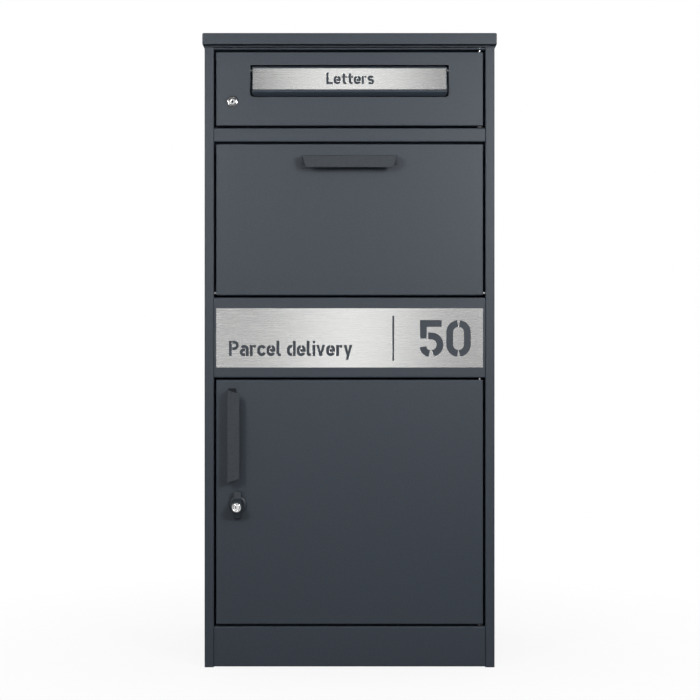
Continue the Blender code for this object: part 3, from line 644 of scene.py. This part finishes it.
# Glyphs with pointed strokes are ready outlines
POINTED = {
    "v": (0.56, [
        (0, X_HEIGHT), (0.175, X_HEIGHT), (0.28, 0.27), (0.385, X_HEIGHT), (0.56, X_HEIGHT),
        (0.37, 0), (0.19, 0),
    ]),
    "y": (0.56, [
        (0, X_HEIGHT), (0.175, X_HEIGHT), (0.285, 0.29), (0.385, X_HEIGHT), (0.56, X_HEIGHT),
        (0.30, -0.25), (0.12, -0.25), (0.20, 0.02),
    ]),
}


def stroke_outline(path):
    """The outline of a flat pen drawn along a path, with mitred corners."""
    points = [Vector(path[0])]
    for point in path[1:]:
        if (Vector(point) - points[-1]).length > 1e-6:
            points.append(Vector(point))
    left, right = [], []
    for i, point in enumerate(points):
        before = (point - points[i - 1]).normalized() if i else None
        after = (points[i + 1] - point).normalized() if i + 1 < len(points) else None
        nearest = after or before
        along = ((before or after) + nearest).normalized()
        across = Vector((-along.y, along.x))
        reach = HALF / max(0.3, across.dot(Vector((-nearest.y, nearest.x))))
        left.append(tuple(point + across * reach))
        right.append(tuple(point - across * reach))
    return left + right[::-1]


def glyph(letter):
    """A letter's width and outlines, in units of the capitals' height."""
    if letter in POINTED:
        width, outline = POINTED[letter]
        return width, [outline]
    width, paths = GLYPHS[letter]
    return width, [stroke_outline(path) for path in paths]


def text_outlines(text, cap_height, left, baseline, width):
    """Outlines of a line of stencil text, its letters spread to fill the width."""
    glyphs = [glyph(letter) for letter in text]
    natural = sum(advance for advance, _ in glyphs) * cap_height
    gap = (width - natural) / (len(text) - 1)
    outlines, x = [], left
    for advance, shapes in glyphs:
        for shape in shapes:
            outlines.append([(x + px * cap_height, baseline + py * cap_height) for px, py in shape])
        x += advance * cap_height + gap
    return outlines


def rounded_rectangle(width, height, radius):
    corners = [(1, 1, 0), (-1, 1, 90), (-1, -1, 180), (1, -1, 270)]
    points = []
    for across, up, start in corners:
        x, y = across * (width / 2 - radius), up * (height / 2 - radius)
        points += bend(x, y, radius, start, start + 90, 4)
    return points


def stencil_plate(name, node, size, outlines, matrix):
    """A plate with its lettering cut right through."""
    width, height, thickness = size
    chamfer = 0.0001
    curve = bpy.data.curves.new(name, "CURVE")
    curve.dimensions = "2D"
    curve.fill_mode = "BOTH"
    curve.extrude = thickness / 2 - chamfer
    curve.bevel_depth = chamfer
    curve.bevel_resolution = 1
    curve.offset = -chamfer
    for outline in [rounded_rectangle(width, height, 0.0006)] + outlines:
        spline = curve.splines.new("POLY")
        spline.points.add(len(outline) - 1)
        spline.use_cyclic_u = True
        for point, (x, y) in zip(spline.points, outline):
            point.co = (x, y, 0, 1)
    return add_piece(name, curve, BODY_OF[node], "brushed_stainless", (node,), matrix)


def name_plate():
    """The house's plate: a line of words, an upright rule and a number."""
    low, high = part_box("name_plate")
    size = (high.x - low.x, high.z - low.z, high.y - low.y)
    centre = (low + high) / 2
    words_foot, number_foot = 0.5042 - centre.z, 0.5035 - centre.z
    lettering = text_outlines(
        "Parcel delivery", cap_height=0.0246, left=-0.1952, baseline=words_foot, width=0.1995
    )
    lettering += text_outlines(
        "50", cap_height=0.0583, left=0.1141, baseline=number_foot, width=0.0815
    )
    left, right, foot, top = 0.0692, 0.0722, 0.4967 - centre.z, 0.5691 - centre.z
    lettering.append([(left, foot), (right, foot), (right, top), (left, top)])
    place = facing_front(centre.x, centre.y - FRONT, centre.z)
    stencil_plate("stencil_name_plate", "name_plate", size, lettering, place)


def flap_plate():
    """The plate on the letter flap, which leans with the flap's face."""
    mesh = frame["nodes"]["letter_flap_plate"].data
    face = max((side for side in mesh.polygons if side.normal.y < -0.5), key=lambda side: side.area)
    normal = face.normal.normalized()
    low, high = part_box("letter_flap_plate")
    lean = math.atan2(normal.z, -normal.y)
    thickness = 0.0008
    height = (high.z - low.z - thickness * math.sin(lean)) / math.cos(lean)
    size = (high.x - low.x, height, thickness)
    cap_height, width = 0.0198, 0.077
    shift, lift = 0.001, 0.0008  # the word's middle from the plate's
    left, baseline = shift - width / 2, lift - cap_height / 2
    lettering = text_outlines("Letters", cap_height, left, baseline, width)
    place = Matrix.Translation((low + high) / 2) @ Matrix.Rotation(math.pi / 2 - lean, 4, "X")
    stencil_plate("stencil_flap_plate", "letter_flap_plate", size, lettering, place)


# Locks


def turned_piece(name, node, profile, place, segments=72, edge=0.00015, cutters=()):
    bm = lathe(profile, segments)
    if cutters:
        bm = carve(bm, *cutters)
    piece = add_piece(name, mesh_from(bm, name), BODY_OF[node], SLOT_OF[node], (node,), place)
    round_edges(piece, edge, angle=24)
    return piece


def keyhole_shutter_and_shade(name, node, place, width, height, depth):
    """The dark shutter that closes a keyhole from inside: a dust shutter, coloured near-black as
    painted shade for the hole's depth.
    """
    half, tall = width / 2, height / 2
    outline = [(half, -tall), (half, tall), (-half, tall), (-half, -tall)]
    bm = prism(outline, depth - 0.0006, depth)
    # painted shade: the black rubber finish keeps the keyhole dark
    piece = add_piece(name, mesh_from(bm, name), BODY_OF[node], "rubber", matrix=place)
    round_edges(piece, 0.0001)


def letter_lock():
    """A cam lock: dished chrome flange, and a plug with a diamond keyhole."""
    centre = middle("letter_lock_plug")
    place = facing_front(centre.x, 0, centre.z)
    low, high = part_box("letter_lock_barrel")
    reach, tail, radius = FRONT - low.y, FRONT - high.y, (high.x - low.x) / 2
    flange = [(0.0057, reach - 0.0012), (0.0061, reach - 0.0003), (0.0066, reach)]
    flange += [(0.0070, reach), (0.0080, reach - 0.0004), (0.0090, reach - 0.0012)]
    flange += [(radius - 0.0003, reach - 0.0020), (radius, reach - 0.0024), (radius, CLEAR)]
    flange += [(0.0079, CLEAR), (0.0079, tail), (0.0057, tail)]
    turned_piece("cam_lock_barrel", "letter_lock_barrel", flange, place, edge=0.0001)

    low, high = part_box("letter_lock_plug")
    face, end = FRONT - low.y, FRONT - high.y
    plug = [(0, face), (0.0046, face), (0.0050, face - 0.0002), (0.0052, face - 0.0006)]
    plug += [(0.0052, end), (0, end)]
    keyhole = [(0, 0.0027), (0.0012, 0.0012), (0.0022, 0), (0.0012, -0.0012)]
    keyhole += [(0, -0.0027), (-0.0012, -0.0012), (-0.0022, 0), (-0.0012, 0.0012)]
    cutter = prism(keyhole, face - 0.005, face + 0.002)
    turned_piece("cam_lock_plug", "letter_lock_plug", plug, place, edge=0.0001, cutters=[cutter])
    # keyhole shutter, near-black as painted shade in the hole
    keyhole_shutter_and_shade("cam_lock_shutter_and_shade", "letter_lock_plug", place, 0.0030, 0.0038, face - 0.0008)


def door_lock():
    """The wing knob's rosette and the key cylinder in the knob."""
    low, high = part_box("door_lock_housing")
    place = facing_front((low.x + high.x) / 2, 0, (low.z + high.z) / 2)
    radius, face, tail = (high.x - low.x) / 2, FRONT - low.y, FRONT - high.y
    rose = [(0.0096, face - 0.0008), (0.0100, face), (0.0118, face), (0.0134, face - 0.0006)]
    rose += [(radius - 0.0006, face - 0.0014), (radius, face - 0.0024), (radius, CLEAR)]
    rose += [(0.0100, CLEAR), (0.0100, tail), (0.0083, tail), (0.0083, face - 0.0008)]
    turned_piece("lock_rosette", "door_lock_housing", rose, place, edge=0.0002)

    low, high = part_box("key_cylinder")
    place = facing_front((low.x + high.x) / 2, 0, (low.z + high.z) / 2)
    radius, face, tail = (high.x - low.x) / 2, FRONT - low.y, FRONT - high.y
    plug = [(0, face - 0.0002), (0.0050, face - 0.0002), (0.0053, face - 0.0004)]
    plug += [(0.0056, face - 0.0002), (0.0060, face), (0.0070, face)]
    plug += [(radius, face - 0.0007), (radius, face - 0.0137)]
    plug += [(0.0060, face - 0.0137), (0.0060, tail), (0, tail)]
    blade = [(-0.0019, -0.0026), (-0.0009, -0.0026), (-0.0004, -0.0014), (-0.0004, 0.0014)]
    blade += [(-0.0009, 0.0026), (-0.0019, 0.0026), (-0.0019, 0.0008)]
    blade += [(-0.0015, 0), (-0.0019, -0.0008)]
    cutter = prism(blade, face - 0.006, face + 0.002)
    turned_piece("knob_cylinder", "key_cylinder", plug, place, edge=0.0001, cutters=[cutter])
    behind = place @ Matrix.Translation((-0.0011, 0, 0))
    # keyhole shutter, near-black as painted shade in the hole
    keyhole_shutter_and_shade("knob_cylinder_shutter_and_shade", "key_cylinder", behind, 0.0012, 0.0044, face - 0.0012)


# Pins, screws and nuts


def oriented(node, direction):
    """A frame at a turned node's middle whose Z is direction, and the node's size there."""
    low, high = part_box(node)
    axis = Vector(direction)
    size = high - low
    length = abs(size.dot(axis))
    radius = min(size[i] for i in range(3) if abs(axis[i]) < 0.5) / 2
    turn = axis.to_track_quat("Z", "Y").to_matrix().to_4x4()
    return Matrix.Translation((low + high) / 2) @ turn, radius, length


def pin(node, direction):
    """A hinge pin with a domed head at the end that direction points to."""
    shank, head = 0.0020, 0.0015
    place, radius, length = oriented(node, direction)
    half = length / 2
    profile = [(0, half), (radius * 0.5, half - 0.0001), (radius * 0.85, half - 0.0004)]
    profile += [(radius, half - 0.0009), (radius, half - head), (shank, half - head)]
    profile += [(shank, 0.0006 - half), (shank - 0.0006, -half), (0, -half)]
    turned_piece("turned_" + node, node, profile, place, segments=32)


def socket_screw(node, direction, shank, head, socket):
    """A button-head screw with a hexagon socket, its head towards direction."""
    place, radius, length = oriented(node, direction)
    half = length / 2
    profile = [(0, half), (radius * 0.62, half), (radius * 0.9, half - head * 0.45)]
    profile += [(radius, half - head * 0.8), (radius, half - head), (shank, half - head)]
    profile += [(shank, 0.0004 - half), (shank - 0.0004, -half), (0, -half)]
    cutter = prism(ring_points(socket, 6), half - head * 0.75, half + 0.002)
    turned_piece("socket_" + node, node, profile, place, 32, cutters=[cutter])


def hex_nut(node, bore):
    """A thin nut with its corners chamfered on both faces."""
    place, _, length = oriented(node, (0, -1, 0))
    low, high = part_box(node)
    corner, half = max(high.x - low.x, high.z - low.z) / 2, length / 2
    bm = prism(ring_points(corner, 6), -half, half)
    inside, outside, beyond = corner * 0.9, corner * 1.3, half + 0.004
    chamfer = (outside - inside) * math.tan(math.radians(30))
    for side in (1, -1):
        ring = [(inside, side * half), (outside, side * (half - chamfer))]
        ring += [(outside, side * beyond), (inside, side * beyond)]
        bm = carve(bm, lathe(ring, 48))
    drill = 0.02  # the bore's cutter, longer than any nut
    bm = carve(bm, lathe([(0, drill), (bore, drill), (bore, -drill), (0, -drill)], 48))
    mesh = mesh_from(bm, node)
    piece = add_piece("fine_" + node, mesh, BODY_OF[node], SLOT_OF[node], (node,), place)
    round_edges(piece, 0.00012, angle=35)


def fasteners():
    for node in ("letter_door_pin_upper", "parcel_door_pin_upper"):
        pin(node, (0, 0, 1))
    for node in ("letter_door_pin_lower", "parcel_door_pin_lower"):
        pin(node, (0, 0, -1))
    for name, side in (("left", -1), ("right", 1)):
        pin("parcel_flap_pin_" + name, (side, 0, 0))
        pin("letter_flap_pin_" + name, (side, 0, 0))
    for handle in ("flap_handle", "door_handle"):
        for number in (1, 2):
            socket_screw(f"{handle}_screw_{number}", (0, 1, 0), 0.0019, 0.0022, 0.0013)
    socket_screw("letter_lock_screw", (0, 1, 0), 0.0019, 0.0025, 0.0015)
    socket_screw("cam_bolt", (0, 1, 0), 0.0030, 0.0040, 0.0025)
    for end in ("front", "rear"):
        for side in ("left", "right"):
            socket_screw(f"lid_bolt_{end}_{side}", (0, 0, -1), 0.0022, 0.0035, 0.0017)
    hex_nut("letter_lock_nut", 0.0083)
    hex_nut("door_lock_nut", 0.0104)


def small_soft_parts():
    """Rubber buffers and nylon washers."""
    for side in ("left", "right"):
        place, radius, length = oriented("flap_buffer_" + side, (0, -1, 0))
        half = length / 2
        profile = [(0, half), (radius * 0.55, half - 0.0002), (radius * 0.85, half - 0.0008)]
        profile += [(radius, half - 0.0018), (radius, -half), (0, -half)]
        turned_piece("rubber_buffer_" + side, "flap_buffer_" + side, profile, place, 40)
    for door in ("letter_door", "parcel_door"):
        place, radius, length = oriented(door + "_washer", (0, 0, 1))
        half, bore = length / 2, 0.0024
        profile = [(radius, half), (radius, -half), (bore, -half), (bore, half)]
        turned_piece(door + "_nylon_washer", door + "_washer", profile, place, 40, edge=0.0003)


def painted_shade_at_pull_end():
    """Painted shade: a near-black pad over the foot of the door's pull, which shows past its upper
    end, where the pull shades the foot.
    """
    low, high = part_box("door_handle")
    width, height = 0.0131, 0.0112
    past, rise = 0.0024, 0.0031  # beyond the pull's end, and off the door
    outline = rounded_rectangle(width, height, 0.0012)
    place = facing_front(low.x + width / 2, 0, high.z + past - height / 2)
    mesh = mesh_from(prism(outline, CLEAR, rise), "painted_shade_block")
    body = BODY_OF["door_handle"]
    # painted shade: the pad gets the black rubber finish so the foot looks shaded
    piece = add_piece("door_handle_painted_shade", mesh, body, "rubber", matrix=place)
    round_edges(piece, 0.0004)


def rear_rivets():
    """Blind rivets hold the back panel to the rear flanges, in a column on each side."""
    low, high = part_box("rear_flange_left")
    count, margin = 8, 0.06
    radius, rise = 0.0032, 0.0011
    profile = [(0, rise - 0.0004), (0.0011, rise - 0.0004), (0.0014, rise)]
    profile += [(0.0020, rise - 0.0001), (0.0028, rise * 0.6)]
    profile += [(radius, 0.0002), (radius, -0.0003), (0, -0.0003)]
    joined = bmesh.new()
    for side in (-1, 1):
        for number in range(count):
            z = low.z + margin + (high.z - low.z - 2 * margin) * number / (count - 1)
            centre = (side * abs(low.x + high.x) / 2, high.y, z)
            one = lathe(profile, 28)
            one.transform(Matrix.Translation(centre) @ Matrix.Rotation(-math.pi / 2, 4, "X"))
            scratch = mesh_from(one, "rivet")
            joined.from_mesh(scratch)
            bpy.data.meshes.remove(scratch)
    add_piece("rear_rivets", mesh_from(joined, "rear_rivets", 40), "cabinet", "powder_coat")


add_camera()
add_world()
add_lights()
add_stage()
side_sheets()
sheet_parts()
name_plate()
flap_plate()
letter_lock()
door_lock()
fasteners()
small_soft_parts()
# painted shade on the foot of the door's pull
painted_shade_at_pull_end()
rear_rivets()
